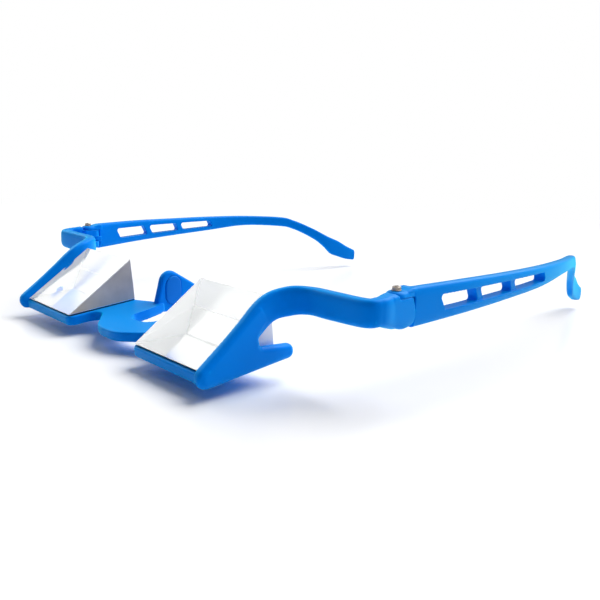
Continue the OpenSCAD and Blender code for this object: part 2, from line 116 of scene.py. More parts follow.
def seatPoint(along, up):
    return (along * cosTilt - up * sinTilt, edgeZ + along * sinTilt + up * cosTilt)


def hexColour(code):
    parts = [int(code[i:i + 2], 16) / 255 for i in (1, 3, 5)]
    linear = [c / 12.92 if c <= 0.04045 else ((c + 0.055) / 1.055) ** 2.4 for c in parts]
    return (*linear, 1.0)


# Mesh tools. A shape is a list of vertices and a list of faces.

# Catmull-Rom curve through the stations
def smoothStations(stations, steps):
    s = np.array(stations, float)
    out = []
    for i in range(len(s) - 1):
        a, b, c, d = s[max(i - 1, 0)], s[i], s[i + 1], s[min(i + 2, len(s) - 1)]
        for j in range(steps):
            t = j / steps
            out.append(0.5 * (2 * b + (c - a) * t + (2 * a - 5 * b + 4 * c - d) * t * t
                              + (3 * b - a - 3 * c + d) * t ** 3))
    out.append(s[-1])
    return np.array(out)


def unit(v):
    return v / (np.linalg.norm(v) + 1e-12)


# Faces between rings of equally many points; ends are closed unless the last ring joins the first
def stitched(rings, sides, ring=False):
    faces = [] if ring else [list(range(sides)), [(rings - 1) * sides + i for i in range(sides)]]
    for k in range(rings if ring else rings - 1):
        low, high = k * sides, (k + 1) % rings * sides
        for i in range(sides):
            j = (i + 1) % sides
            faces.append([low + i, low + j, high + j, high + i])
    return faces


# Closed skin along stations of x, y, z, thickness and height
def loft(stations, capStart=0.0, capEnd=0.0, upright=False):
    last, sides = len(stations) - 1, drawn["loftSides"]
    turns = np.radians(drawn["capTurns"])
    rings = [(0, -capStart * math.sin(a), math.cos(a)) for a in turns] if capStart else []
    rings += [(i, 0.0, 1.0) for i in range(last + 1)]
    rings += [(last, capEnd * math.sin(a), math.cos(a)) for a in turns[::-1]] if capEnd else []
    angles = 2 * math.pi * (np.arange(sides) + 0.5) / sides
    shapeU, shapeV = (0.5 * np.sign(c) * np.abs(c) ** drawn["squareness"]
                      for c in (np.cos(angles), np.sin(angles)))
    verts = []
    zAxis = np.array([0.0, 0.0, 1.0])
    for i, shift, grow in rings:
        go = unit(stations[min(i + 1, last)][:3] - stations[max(i - 1, 0)][:3])
        side = unit(np.cross(go, zAxis))
        up = zAxis if upright else np.cross(side, go)
        ahead = unit(np.cross(zAxis, side)) if upright else go
        centre = stations[i][:3] + ahead * shift
        wide, high = stations[i][3] * grow, stations[i][4] * grow
        verts += [centre + side * wide * u + up * high * v for u, v in zip(shapeU, shapeV)]
    return verts, stitched(len(rings), sides)


# Outline from corners of x, y and radius
def rounded(corners, steps=10):
    out = []
    m = len(corners)
    for i in range(m):
        a, b, c = (np.array(corners[(i + k) % m][:2], float) for k in (-1, 0, 1))
        r = corners[i][2]
        if r == 0:
            out.append(b)
            continue
        u, v = unit(a - b), unit(c - b)
        half = math.acos(np.clip(u @ v, -1, 1)) / 2
        o = b + unit(u + v) * r / math.sin(half)
        s, e = b + u * r / math.tan(half) - o, b + v * r / math.tan(half) - o
        start = math.atan2(s[1], s[0])
        turn = (math.atan2(e[1], e[0]) - start + 3 * math.pi) % (2 * math.pi) - math.pi
        angles = [start + turn * k / steps for k in range(steps + 1)]
        out += [o + r * np.array([math.cos(t), math.sin(t)]) for t in angles]
    return np.array(out)


def inset(outline, distance):
    before, after = np.roll(outline, 1, axis=0), np.roll(outline, -1, axis=0)
    u, v = outline - before, after - outline
    u /= np.linalg.norm(u, axis=1)[:, None] + 1e-12
    v /= np.linalg.norm(v, axis=1)[:, None] + 1e-12
    n = np.stack([-u[:, 1] - v[:, 1], u[:, 0] + v[:, 0]], axis=1)
    n /= np.linalg.norm(n, axis=1)[:, None] + 1e-12
    reach = np.maximum(0.5, n[:, 1] * u[:, 0] - n[:, 0] * u[:, 1])     # at most twice as far
    return outline + n * (distance / reach)[:, None]


# Plate with soft edges; place turns (u, v, w) into (x, y, z), w is through the thickness.
# The edge is one softness, or a pair for the lower and the upper edge.
def plate(outline, thick, edge, place, base=0.0, steps=5):
    x, y = outline[:, 0], outline[:, 1]
    if np.sum(x * np.roll(y, -1) - np.roll(x, -1) * y) < 0:
        outline = outline[::-1]
    low, high = edge if isinstance(edge, tuple) else (edge, edge)
    turns = np.radians(np.linspace(0, 90, steps + 1))
    soft = [(1 - math.sin(t), 1 - math.cos(t)) for t in turns]
    levels = [(low * a, low * b) for a, b in soft] if low else [(0.0, 0.0)]
    if high:
        levels += [(high * a, thick - high * b) for a, b in soft[::-1]]
    else:
        levels.append((0.0, thick))
    verts = [np.array(place(p[0], p[1], base + w)) for d, w in levels for p in inset(outline, d)]
    return verts, stitched(len(levels), len(outline))


def level(u, v, w):
    return (u, v, w)


def disc(x, y, z, radius, height):
    turns = [2 * math.pi * k / drawn["discSides"] for k in range(drawn["discSides"])]
    ring = [(x + radius * math.cos(t), y + radius * math.sin(t)) for t in turns]
    return plate(np.array(ring), height, 0, level, z)


def block(low, high):
    (a, b, c), (d, e, f) = low, high
    return plate(np.array([(a, b), (d, b), (d, e), (a, e)], float), f - c, 0, level, c)


def mirrored(shape):
    return [np.array([-v[0], v[1], v[2]]) for v in shape[0]], [f[::-1] for f in shape[1]]


def newObject(name, data):
    obj = bpy.data.objects.new(name, data)
    bpy.context.scene.collection.objects.link(obj)
    return obj


def asObject(name, shape):
    data = bpy.data.meshes.new(name)
    data.from_pydata([tuple(v) for v in shape[0]], [], [list(f) for f in shape[1]])
    bm = bmesh.new()
    bm.from_mesh(data)
    bmesh.ops.remove_doubles(bm, verts=bm.verts, dist=drawn["merge"])
    bmesh.ops.recalc_face_normals(bm, faces=bm.faces)
    bm.to_mesh(data)
    bm.free()
    return newObject(name, data)


# Runs one modifier on the object and keeps the result as its mesh
def modified(obj, kind, **settings):
    step = obj.modifiers.new("step", kind)
    for key, value in settings.items():
        setattr(step, key, value)
    graph = bpy.context.evaluated_depsgraph_get()
    data = bpy.data.meshes.new_from_object(obj.evaluated_get(graph))
    obj.modifiers.clear()
    obj.data = data


# The shape minus each cutter
def cut(shape, cutters):
    obj = asObject("stock", shape)
    for cutter in cutters:
        tool = asObject("tool", cutter)
        modified(obj, "BOOLEAN", operation="DIFFERENCE", solver="EXACT", object=tool)
        bpy.data.objects.remove(tool)
    verts = [np.array(v.co) for v in obj.data.vertices]
    faces = [list(f.vertices) for f in obj.data.polygons]
    bpy.data.objects.remove(obj)
    return verts, faces


def readPoints(data):
    co = np.zeros(len(data.vertices) * 3)
    data.vertices.foreach_get("co", co)
    return co.reshape(-1, 3)


# Evens out the voxel steps without shrinking the part
def relaxed(data, rounds):
    n, co = len(data.vertices), readPoints(data)
    edges = np.zeros(len(data.edges) * 2, np.int64)
    data.edges.foreach_get("vertices", edges)
    a, b = edges[0::2], edges[1::2]
    count = np.bincount(a, minlength=n) + np.bincount(b, minlength=n)
    for push in drawn["pushes"] * rounds:
        mean = np.stack([(np.bincount(a, co[b, i], n) + np.bincount(b, co[a, i], n)) / count
                         for i in range(3)], axis=1)
        co += push * (mean - co)
    data.vertices.foreach_set("co", co.ravel())


# From millimetres to the frame's metres; nothing reaches below the part's foot
def settled(obj):
    co = readPoints(obj.data)
    co[:, 1] -= midY
    co[:, 2] = np.maximum(co[:, 2], 0.0)
    obj.data.vertices.foreach_set("co", (co * mm).ravel())
    obj.data.polygons.foreach_set("use_smooth", [True] * len(obj.data.polygons))
    obj.data.update()


# One skin round all the shapes, with softened joins. The voxel grid stands askew to the part, so
# that no flat side lies along it and shows steps. keep is the share of the faces that stays.
def welded(name, shapes, voxel, rounds, keep):
    verts, faces = [], []
    for points, sides in shapes:
        base = len(verts)
        verts += list(points)
        faces += [[base + i for i in f] for f in sides]
    obj = asObject(name, (verts, faces))
    askew = Matrix.Rotation(math.radians(drawn["skew"]), 4, Vector(drawn["skewAxis"]))
    obj.data.transform(askew)
    modified(obj, "REMESH", mode="VOXEL", voxel_size=voxel)
    obj.data.transform(askew.inverted())
    relaxed(obj.data, rounds)
    modified(obj, "DECIMATE", ratio=keep)
    settled(obj)
    return obj


def mirrorCopy(obj, name):
    data = obj.data.copy()
    data.transform(Matrix.Scale(-1, 4, (1, 0, 0)))
    data.flip_normals()
    return newObject(name, data)


# Materials

# A node with its settings and links. Both are keyed by an input's name or number, and settings also
# by a property's name; a link is a pair of a node and its output. A colour mix has its two colours
# in inputs 6 and 7 and its result in output 2.
def addNode(owner, kind, settings=None, links=None):
    node = owner.node_tree.nodes.new(kind)
    for key, value in (settings or {}).items():
        if isinstance(key, int) or key in node.inputs:
            node.inputs[key].default_value = value
        else:
            setattr(node, key, value)
    for key, (source, output) in (links or {}).items():
        owner.node_tree.links.new(source.outputs[output], node.inputs[key])
    return node


def newMaterial(name):
    material = bpy.data.materials.new(name)
    material.use_nodes = True
    material.node_tree.nodes.clear()
    return material


# Bump of a given grain width and depth in millimetres
def grain(material, size, depth):
    where = addNode(material, "ShaderNodeTexCoord")
    noise = addNode(material, "ShaderNodeTexNoise", {
        "Scale": 1 / (size * mm), "Detail": 2.0, "Roughness": 0.6}, {"Vector": (where, "Object")})
    bump = addNode(material, "ShaderNodeBump", {"Strength": 0.35, "Distance": depth * mm},
                   {"Height": (noise, "Fac")})
    return where, bump


def surfaced(material, settings, links):
    surface = addNode(material, "ShaderNodeBsdfPrincipled", settings, links)
    addNode(material, "ShaderNodeOutputMaterial", links={"Surface": (surface, "BSDF")})
    return material


def plainMaterial(name, settings, grainSize=None):
    material = newMaterial(name)
    links = {"Normal": (grain(material, *grainSize)[1], "Normal")} if grainSize else {}
    return surfaced(material, settings, links)


# Nylon, injection moulded in a spark-eroded tool: satin skin with soft wide highlights, and edges
# that are painted paler, partly as wear and partly as a painted highlight along the rims
nylonLook = {
    "deep": "#0076ec", "light": "#0080f6",      # faint clouds in the pigment
    "rubbedHighlightColour": "#009cff", "gleam": "#00d4ff",    # edge colour, worn and with painted highlight; and the tint of the highlights
    "grain": (0.3, 0.012),      # width and depth of the spark grain, drawn coarse to show
    "mottle": 14.0,             # width of the clouds
    "gloss": (0.34, 0.46),      # range of roughness over the clouds
    "wearAndHighlight": (0.53, 0.62, 0.35),     # pointiness where it starts and ends, and its strength
}


def blueNylon():
    deep, light = hexColour(nylonLook["deep"]), hexColour(nylonLook["light"])
    rubbedHighlightColour, gleam = hexColour(nylonLook["rubbedHighlightColour"]), hexColour(nylonLook["gleam"])
    start, end, strength = nylonLook["wearAndHighlight"]
    low, high = nylonLook["gloss"]
    material = newMaterial("nylonMoulded")
    where, bump = grain(material, *nylonLook["grain"])
    mottle = addNode(material, "ShaderNodeTexNoise", {
        "Scale": 1 / (nylonLook["mottle"] * mm), "Detail": 2.0}, {"Vector": (where, "Object")})
    body = addNode(material, "ShaderNodeMix", {"data_type": "RGBA", 6: deep, 7: light},
                   {0: (mottle, "Fac")})
    # Convex edges are painted paler: wear, and a painted highlight along the rims
    shape = addNode(material, "ShaderNodeNewGeometry")
    edge = addNode(material, "ShaderNodeMapRange", {
        "From Min": start, "From Max": end, "To Max": strength}, {"Value": (shape, "Pointiness")})
    wornAndHighlit = addNode(material, "ShaderNodeMix", {"data_type": "RGBA", 7: rubbedHighlightColour},
                   {0: (edge, "Result"), 6: (body, 2)})
    gloss = addNode(material, "ShaderNodeMapRange", {"To Min": low, "To Max": high},
                    {"Value": (mottle, "Fac")})
    # The sheen stands for the light that the spark grain scatters at low angles
    return surfaced(material, {
        "Roughness": (low + high) / 2, "IOR": 1.53, "Specular IOR Level": 0.12,
        "Specular Tint": gleam, "Sheen Weight": 1.0, "Sheen Roughness": 0.5, "Sheen Tint": gleam},
        {"Base Color": (wornAndHighlit, 2), "Roughness": (gloss, "Result"), "Normal": (bump, "Normal")})


nylon = blueNylon()

# Thermoplastic rubber, moulded: softer and duller than the nylon round it
rubber = plainMaterial("elastomerMoulded", {
    "Base Color": hexColour("#0a76e0"), "Roughness": 0.62, "IOR": 1.5,
    "Specular Tint": hexColour(nylonLook["gleam"])}, (0.25, 0.02))


# Crown glass: clear, with a faint green in its depth. The rear face is smoothed to a satin and the
# slope has a fine anti-glare etch, so what shows through is softened
def crownGlass(name, roughness):
    return plainMaterial(name, {
        "Base Color": hexColour("#fbfdfc"), "Roughness": roughness, "IOR": 1.52,
        "Transmission Weight": 1.0})


# The same glass, ground with grit: grey and streaked from outside, and painted white where seen from
# inside the glass, painted light for the light that comes through it
groundLook = {
    "grit": (0.5, 0.004),       # width and depth of its marks, drawn coarse to show
    "cloud": 7,                 # width of the streaks
    # painted light: the ground faces as lit through the glass
    "inside": "#fafafa",
}


def groundGlass(name, pale, dark):
    material = newMaterial(name)
    where, bump = grain(material, *groundLook["grit"])
    cloud = addNode(material, "ShaderNodeTexNoise", {
        "Scale": 1 / (groundLook["cloud"] * mm), "Detail": 3.0}, {"Vector": (where, "Object")})
    tone = addNode(material, "ShaderNodeMix", {
        "data_type": "RGBA", 6: hexColour(dark), 7: hexColour(pale)}, {0: (cloud, "Fac")})
    shape = addNode(material, "ShaderNodeNewGeometry")
    # From inside the glass the ground faces take the painted light colour
    inside = addNode(material, "ShaderNodeMix", {
        "data_type": "RGBA", 7: hexColour(groundLook["inside"])},
        {0: (shape, "Backfacing"), 6: (tone, 2)})
    return surfaced(material, {"Roughness": 0.5, "IOR": 1.52},
                    {"Base Color": (inside, 2), "Normal": (bump, "Normal")})


satinGlass = crownGlass("crownGlassSatin", 0.3)
etchedGlass = crownGlass("crownGlassEtched", 0.12)
# The inner ends' copy of the ground glass is darker: painted shade
shadedGround = groundGlass("crownGlassGroundShaded", "#e0d6c8", "#a89e90")
outerGround = groundGlass("crownGlassGroundPale", "#fbf9f6", "#f0eeea")

# Silver, deposited on the glass: seen through it as a clean mirror
silver = plainMaterial("silverDeposited", {
    "Base Color": hexColour("#f4f5f5"), "Roughness": 0.04, "Metallic": 1.0})

# Epoxy, black, poured thin: shows only as a dark line under the glass
epoxy = plainMaterial("epoxyBlack", {
    "Base Color": hexColour("#070b16"), "Roughness": 0.4, "IOR": 1.5}, (0.4, 0.01))

# Stainless steel, turned: bright with fine marks left by the tool
steel = plainMaterial("steelTurned", {
    "Base Color": hexColour("#8f8780"), "Roughness": 0.26, "Metallic": 1.0}, (0.08, 0.01))

# Brass, turned: yellow, with the same fine marks
brass = plainMaterial("brassTurned", {
    "Base Color": hexColour("#c9a14a"), "Roughness": 0.3, "Metallic": 1.0}, (0.08, 0.01))
print("materials made")


# Front frame

arm = {
    "height": 6.3, "thick": 3.7,
    "z": 16.95,             # height of its middle
    "ahead": 8.4,           # from its straight run to the hinge axis
    "belowEar": 0.25,       # its end lies this much under the ear's top
    "overLug": 0.15,        # and reaches this much less far down than the lug
    "endThick": (4.3, 4.7),
    "cap": 0.3,
}
# The arm's outer face runs on past the screw, flush with the temple's
cheek = {
    "thick": 2.6, "proud": 0.03, "caps": (0.3, 0.12),
    "short": 0.12,          # of the lug's rear face
    "heights": ((-4.2, 5.6), (-2.4, 6.9), (0.2, 7.95), (2.2, 7.7)),     # y from the axis, height
    "endHeight": 7.0,
}
temple = {
    "thick": 3.2, "hookThick": 2.4,
    "stem": 91.5, "hook": 38.4, "toeCap": 0.9,
    "bow": 3.17, "bendIn": 3.8, "tipIn": 15.5,
    "rootHeight": 9.0, "bendHeight": 4.0, "top": 21.8,
    "foot": 7.5, "toe": 5.0,
    "slots": 3, "slotStart": 12.5, "pitch": 14.8, "slotTail": 2.4, "slotRound": 0.75,
    "slotShare": 0.34,      # limit of the slots' radius, as a share of their height
    "rail": 0.285,          # share of the height above and below the slots
    "strut": 2.4, "slant": 28.0, "sink": 0.7, "sinkOver": 1.5,
    "leafIn": 0.15, "leafReach": 0.6,       # the leaves' sides, and how far they run into the bar
    "rampStart": 1.5, "rampIn": 2.1, "rampWide": 4.3, "rampSoft": 0.55,
    "rampReach": (-0.6, 0.8), "rampSink": (0.15, 0.1),
}
frontY = seatPoint(*noseCentre)[0] - sidePlate["nose"]
midY = (frontY + hingeY + temple["stem"] + temple["hook"]) / 2

insertZ = hinge["lugBottom"] + hinge["insertSink"]
slotZ = insertZ + hinge["insertLength"] + hinge["insertRoof"]
slotHigh = hinge["tongueThick"] + 2 * hinge["slide"]
earZ = hinge["lugTop"] + hinge["slide"]
washerZ = earZ + hinge["earThick"] + hinge["slide"]
headZ = washerZ + hinge["washerThick"]
endTop = earZ + hinge["earThick"] - arm["belowEar"]


# A point on the side plate's slope, down from its top edge
def upSlope(along, down):
    a = math.radians(sidePlate["rise"])
    y, z = seatPoint(*noseCentre)
    lift, cosA, sinA = sidePlate["nose"] - down, math.cos(a), math.sin(a)
    return (y + along * cosA - lift * sinA, z + along * sinA + lift * cosA)


def armShape():
    t, h, z = arm["thick"], arm["height"], arm["z"]
    y = hingeY - arm["ahead"]
    x = hingeX + hinge["lugOut"] - t / 2
    side, nose = sidePlate["thick"], sidePlate["nose"]
    endHigh = endTop - hinge["lugBottom"] - arm["overLug"]
    before, at = arm["endThick"]
    # x, y and z of the middle, thickness, height
    stations = [
        # Up the side plate from its nose
        (sideX, *seatPoint(*noseCentre), side, 2 * nose),
        (sideX, *upSlope(10.5, 3.625), side, h - 0.15),
        (sideX + 0.1, *upSlope(20.4, 3.85), side, h + 0.1),
        # Outwards in front of the hinge
        (sideX + 2.2, y - 2.4, z - 0.6, side + 0.3, h + 0.4),
        (sideX + 6.4, y + 0.3, z - 0.1, t - 0.1, h),
        (sideX + 13, y + 0.4, z, t, h),
        # Round the corner and back along the lug
        (x - 1.8, y, z + 0.35, t + 0.1, h - 0.2),
        (x + 0.05, y + 1.9, z + 0.65, t + 0.2, h - 0.2),
        (hingeX + 0.4, hingeY - 3.3, endTop + 0.2 - endHigh / 2, before, endHigh - 0.3),
        (hingeX + 0.15, hingeY - 1.0, endTop + 0.1 - endHigh / 2, at, endHigh),
    ]
    return loft(smoothStations(stations, drawn["armSteps"]), nose, arm["cap"])


def cheekShape():
    thick = cheek["thick"]
    x = hingeX + hinge["lugOut"] + cheek["proud"] - thick / 2
    rows = cheek["heights"] + ((hinge["lugBack"] - cheek["short"], cheek["endHeight"]),)
    stations = [(x, hingeY + y, endTop - high / 2, thick, high) for y, high in rows]
    return loft(smoothStations(stations, drawn["cheekSteps"]), *cheek["caps"])


# One flat face from the fin up to the top edge, so the arm grows out of it without a crease
def sidePlateShape():
    reach, tip, nose = prismBase + sidePlate["fin"], sidePlate["finTip"], sidePlate["nose"]
    half = math.radians(sidePlate["rise"] - seat["tilt"]) / 2
    outline = rounded([
        (*seatPoint(noseCentre[0] - nose / math.tan(half), -under), nose),
        (*seatPoint(reach, -under), tip),
        (*seatPoint(reach, -under + 2 * tip + sidePlate["finFlat"]), tip),
        *((*seatPoint(along, up), r) for along, up, r in sidePlate["window"]),
        *((*upSlope(along, down), r) for along, down, r in sidePlate["root"])])
    thick = sidePlate["thick"]
    return plate(outline, thick, sidePlate["edge"], lambda u, v, w: (w, u, v), sideX - thick / 2)


wing = {
    "thick": 2.2, "half": 7.7, "height": 8.6, "length": 16.5, "flare": 4.0, "edge": 0.9,
    "behind": 1.6, "clear": 0.3,    # behind the prism, and from there to the wing
    "pad": (8.4, 5.6, 1.1),         # height, length and thickness of the oval
    "padAt": (5.3, 3.6), "padProud": 0.3, "padEdge": 0.4, "padPlay": 0.05,
}
bridge = {
    "front": 1.4, "lobe": 4.4, "curve": 9.0,        # the round front: place, half width, radius
    "side": 10.3, "sideRound": 2.6,                 # where it meets the shelves
    "neck": 9.4, "notch": 5.8, "notchIn": 1.2, "notchBack": 2.8, "notchRound": 4,
    "shelfIn": 0.8, "shelfRound": 2.2, "lip": 0.6,
    "behind": 0.4,                                  # past the prisms
    "tail": 3.2, "tailStart": 1.5, "tailIn": 0.2, "tailRound": (0.6, 0.4),      # under the wings
    "edges": (1.1, 0.45),
}


def deckShape():
    edge = prismIn - bridge["shelfIn"]
    rear = prismBase + bridge["behind"]
    end = rear + bridge["tail"]
    lip, notch, front = -bridge["lip"], bridge["notch"], bridge["front"]
    outer, inner = bridge["tailRound"]
    half = [
        (bridge["lobe"], front, bridge["curve"]),
        (edge, bridge["side"], bridge["sideRound"]),
        (edge, lip, bridge["shelfRound"]), (sideX, lip, 0), (sideX, rear, 0),
        (edge + bridge["tailStart"], rear, 0),
        (wing["half"] + wing["thick"], end, outer), (wing["half"] - bridge["tailIn"], end, inner),
        (notch, rear - bridge["notchBack"], bridge["notchRound"]),
        (notch - bridge["notchIn"], front + bridge["neck"], bridge["notchRound"])]
    outline = rounded(half + [(-x, y, r) for x, y, r in half[::-1]], 14)
    return plate(outline, seat["shelf"], bridge["edges"],
                 lambda u, v, w: (u, *seatPoint(v, w)), -under)


# From along the wing, up it and through it to x, y, z
def atWing(u, v, w):
    a = -math.radians(wing["flare"])
    cosA, sinA, rear = math.cos(a), math.sin(a), prismBase + wing["behind"]
    return (wing["half"] + w * cosA - u * sinA, rear + wing["clear"] + w * sinA + u * cosA,
            seatPoint(rear, -seat["drop"])[1] + v)


def padOutline(grow=0.0):
    long, wide, _ = wing["pad"]
    u, v = wing["padAt"]
    r = wide / 2 - 0.01     # a hair less, so that two corners never meet
    corners = [(u + a * wide / 2, v + b * long / 2, r)
               for a, b in ((-1, -1), (1, -1), (1, 1), (-1, 1))]
    return inset(rounded(corners, 20), -grow)


def wingShape():
    shelf, long, high = seat["shelf"], wing["length"], wing["height"]
    outline = rounded([(-1.4, 0.4 - shelf, 1), (7, -shelf - 0.1, 4), (long - 1, -0.8, 2.5),
                       (long + 0.6, 2.4, 2.5), (2.4, high + 2.6, 3.4)])
    body = plate(outline, wing["thick"], wing["edge"], atWing)
    sink = wing["pad"][2] - wing["padProud"]
    pocket = plate(padOutline(wing["padPlay"]), past["over"] + sink, 0, atWing, -past["over"])
    return cut(body, [pocket])


# Bores for screw and insert, the tongue's slot, and the ear's seat
def lugCutters():
    low, top = hinge["lugBottom"] - past["over"], hinge["lugTop"]
    reach = hinge["tongue"] + hinge["slotPlay"]
    ear = hinge["ear"] + hinge["slotPlay"]
    left, near, right = hingeX - past["side"], hingeX - past["lap"], hingeX + past["side"]
    rear, roof, slotTop = hingeY + past["behind"], top + past["above"], slotZ + slotHigh
    return [
        disc(hingeX, hingeY, low, hinge["screw"] + 2 * hinge["play"], past["through"]),
        disc(hingeX, hingeY, low, hinge["insert"] + hinge["insertGap"],
             past["over"] + hinge["insertSink"] + hinge["insertLength"]),
        disc(hingeX, hingeY, slotZ, reach, slotHigh),
        block((left, hingeY - reach, slotZ), (hingeX, rear, slotTop)),
        block((near, hingeY, slotZ), (hingeX + reach, rear, slotTop)),
        disc(hingeX, hingeY, top, ear, past["above"]),
        block((left, hingeY - ear, top), (hingeX, rear, roof)),
        block((near, hingeY - hinge["earRim"], top), (right, rear, roof)),
    ]


def lugShape():
    out, back, front, r = hinge["lugOut"], hinge["lugBack"], hinge["lugFront"], hinge["lugCorner"]
    core, low, top = out - hinge["lugCore"], hinge["lugBottom"], hinge["lugTop"]
    outline = rounded([
        (-out, front, r), (core, front, r), (core, back, r), (-out, back, hinge["lugRound"])])
    outline = outline + np.array([hingeX, hingeY])
    body = plate(outline, top - low + past["over"], hinge["lugSoft"], level, low)
    wide, high = past["lid"]
    lid = block((hingeX - wide, hingeY - wide, top), (hingeX + wide, hingeY + wide, top + high))
    return cut(body, [lid] + lugCutters())


frameSkin = {"voxel": 0.2, "rounds": 9, "keep": 0.3}
leftShapes = [cut(armShape(), lugCutters()), cut(cheekShape(), lugCutters()), lugShape(),
              sidePlateShape(), wingShape()]
frameShapes = [deckShape()] + leftShapes + [mirrored(shape) for shape in leftShapes]
frontFrame = welded("frontFrame", frameShapes, **frameSkin)
frontFrame.data.materials.append(nylon)
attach(frontFrame, "front")
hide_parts("front_frame")
print("front frame welded", len(frontFrame.data.polygons))


# Temples

rootX = hingeX + hinge["lugOut"] - temple["thick"] / 2
butt = hinge["lugBack"] + hinge["butt"]


def templeStations():
    t, hookT = temple["thick"], temple["hookThick"]
    stemL, hookL, bow = temple["stem"], temple["hook"], temple["bow"]
    bendIn, tipIn, top = temple["bendIn"], temple["tipIn"], temple["top"]
    rootH, bendH = temple["rootHeight"], temple["bendHeight"]
    footH, toeH = temple["foot"], temple["toe"]

    # Share of the stem's length, outwards, upper edge, height
    def stem(f, out, high, h, thick=t):
        return (rootX + out, hingeY + butt + f * (stemL - butt), high - h / 2, thick, h)

    # Share of the hook's length, share of its way inwards, upper edge, height
    def hook(f, share, high, h):
        return (rootX - bendIn - share * (tipIn - bendIn),
                hingeY + stemL + f * (hookL - temple["toeCap"]), high - h / 2, hookT, h)

    return smoothStations([
        stem(0, 0, top, rootH),
        stem(0.2, 0.7 * bow, top + 0.28, 0.8 * rootH + 0.2 * bendH),
        stem(0.4, bow, top + 0.27, 0.57 * rootH + 0.43 * bendH),
        stem(0.6, bow, top + 0.27, 0.34 * rootH + 0.66 * bendH),
        stem(0.8, 0.35 * bow, top + 0.11, bendH + 0.1, 0.7 * t + 0.3 * hookT),
        stem(1, -bendIn, top - 0.7, bendH + 0.1, 0.2 * t + 0.8 * hookT),
        hook(0.16, 0.17, top - 2.13, bendH + 0.05),
        hook(0.31, 0.35, top - 4.32, bendH + 0.3),
        hook(0.45, 0.54, top - 6.8, bendH + 0.8),
        hook(0.56, 0.68, footH + 5.3, 0.6 * footH + 0.4 * bendH - 0.2),
        hook(0.65, 0.77, footH + 3.7, footH),
        hook(0.76, 0.86, footH + 2, footH - 0.1),
        hook(0.88, 0.94, 0.4 * footH + 0.6 * toeH + 1, 0.4 * footH + 0.6 * toeH + 0.3),
        hook(1, 1, toeH, toeH),
    ], drawn["armSteps"])


def templeShape():
    line = templeStations()
    lean = math.tan(math.radians(temple["slant"]))
    rail, count, over = temple["rail"], temple["slots"], temple["sinkOver"]

    def along(y, values):
        return float(np.interp(y, line[:, 1], values))

    def slotY(k):
        return hingeY + temple["slotStart"] + k * temple["pitch"]

    def slotR(y):
        return min(temple["slotRound"], temple["slotShare"] * along(y, line[:, 4]) * (1 - 2 * rail))

    # Slanted opening between the rails
    def window(y0, y1, radius):
        corners = []
        for y, way in ((y0, -1), (y1, -1), (y1, 1), (y0, 1)):
            rise = way * along(y, line[:, 4]) * (0.5 - rail)
            corners.append((y - rise * lean, along(y, line[:, 2]) + rise, radius))
        return rounded(corners, 8)

    def across(x0):
        return lambda u, v, w: (x0 + w, u, v)

    bore = disc(hingeX, hingeY, 0, hinge["screw"] + hinge["play"], past["bore"])
    cutters = [bore]
    for k in range(count):
        end = slotY(k + 1) - temple["strut"] + (temple["slotTail"] if k == count - 1 else 0)
        cutters.append(plate(window(slotY(k), end, slotR(end)), 2 * past["through"], 0,
                             across(hingeX - past["through"])))
    # The struts lie sunk in the outer face
    for k in range(1, count):
        outline = window(slotY(k) - temple["strut"] - over, slotY(k) + over, slotR(slotY(k)))
        face = along(slotY(k), line[:, 0]) + temple["thick"] / 2
        cutters.append(plate(outline, past["face"], 0, across(face - temple["sink"])))
    pieces = [cut(loft(line, 0, temple["toeCap"], True), cutters)]

    # Ear and tongue
    for z, leaf in ((earZ, "ear"), (slotZ + hinge["slide"], "tongue")):
        r, thick, edge = hinge[leaf], hinge[leaf + "Thick"], hinge[leaf + "Soft"]
        half, end = r - temple["leafIn"], butt + temple["leafReach"]
        arc = [(-r * math.cos(a), -r * math.sin(a)) for a in np.linspace(0, math.pi, 33)]
        outline = np.array(arc + [(half, end), (-half, end)]) + np.array([hingeX, hingeY])
        pieces.append(cut(plate(outline, thick, edge, level, z), [bore]))

    # Ramp from the ear up to the bar
    start, top, wide = temple["rampStart"], temple["top"], temple["rampWide"]
    (near, far), (nearSink, farSink) = temple["rampReach"], temple["rampSink"]
    ramp = rounded([
        (start, earZ, 0), (start, earZ + hinge["earThick"] - 0.1, 0.3),
        (butt + near, top - nearSink, 1.2), (butt + far, top - farSink, 0), (butt + far, earZ, 0)])
    ramp = ramp + np.array([hingeY, 0])
    ramp = plate(ramp, wide, temple["rampSoft"], across(hingeX - temple["rampIn"]))
    pieces.append(cut(ramp, [bore]))
    return pieces


templeSkin = {"voxel": 0.18, "rounds": 7, "keep": 0.4}
templeLeft = welded("templeLeft", templeShape(), **templeSkin)
templeRight = mirrorCopy(templeLeft, "templeRight")
for piece, body in ((templeLeft, "temple_left"), (templeRight, "temple_right")):
    piece.data.materials.append(nylon)
    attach(piece, body)
    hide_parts(body)
print("temples welded", len(templeLeft.data.polygons))


# Nose pads

padShape = plate(padOutline(), wing["pad"][2], wing["padEdge"], atWing, -wing["padProud"], 8)
padLeft = asObject("nosePadLeft", padShape)
settled(padLeft)
padLeft.data.materials.append(rubber)
padRight = mirrorCopy(padLeft, "nosePadRight")
for piece, node in ((padLeft, "nose_pad_left"), (padRight, "nose_pad_right")):
    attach(piece, "front")
    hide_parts(node)
print("nose pads made")


# Prisms: etched slope, satin rear face, silvered underside, ground ends and arrises

